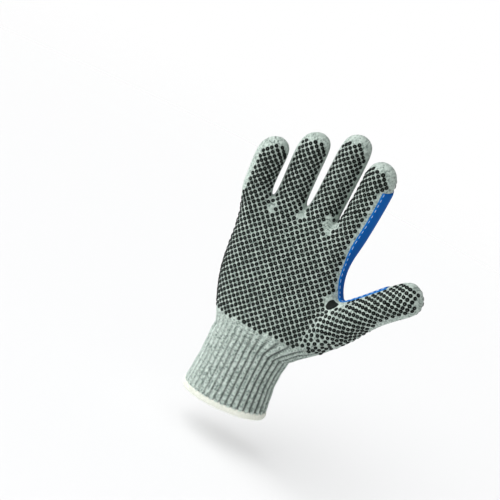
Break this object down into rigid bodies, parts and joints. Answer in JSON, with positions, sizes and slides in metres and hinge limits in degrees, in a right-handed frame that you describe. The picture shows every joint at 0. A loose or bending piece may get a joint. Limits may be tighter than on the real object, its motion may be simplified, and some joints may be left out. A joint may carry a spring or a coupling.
{
  "type": "knit work glove",
  "caption": "Knit work glove for the right hand, filled out as if worn, with dotted grip, ribbed cuff, white overlocked hem and a blue strip in the thumb crotch.",
  "frame": {"origin": "centre of the wrist opening at the cuff's end", "axes": "+Z from the cuff to the fingertips, +X towards the thumb side, the palm faces -Y"},
  "size_m": [0.181, 0.057, 0.2518],
  "materials": {
    "hand_knit": "matt marled grey knit with small dark rubbery dots",
    "cuff_knit": "matt grey rib knit",
    "hem_yarn": "matt white overlock yarn",
    "strip_cloth": "matt blue woven strip",
    "pad_print": "satin dark print"
  },
  "bodies": {
    "root": {"knit_hand": "hand_knit", "rib_cuff": "cuff_knit", "hem_edge": "hem_yarn", "crotch_strip": "strip_cloth", "crotch_pad": "pad_print"}
  },
  "joints": []
}
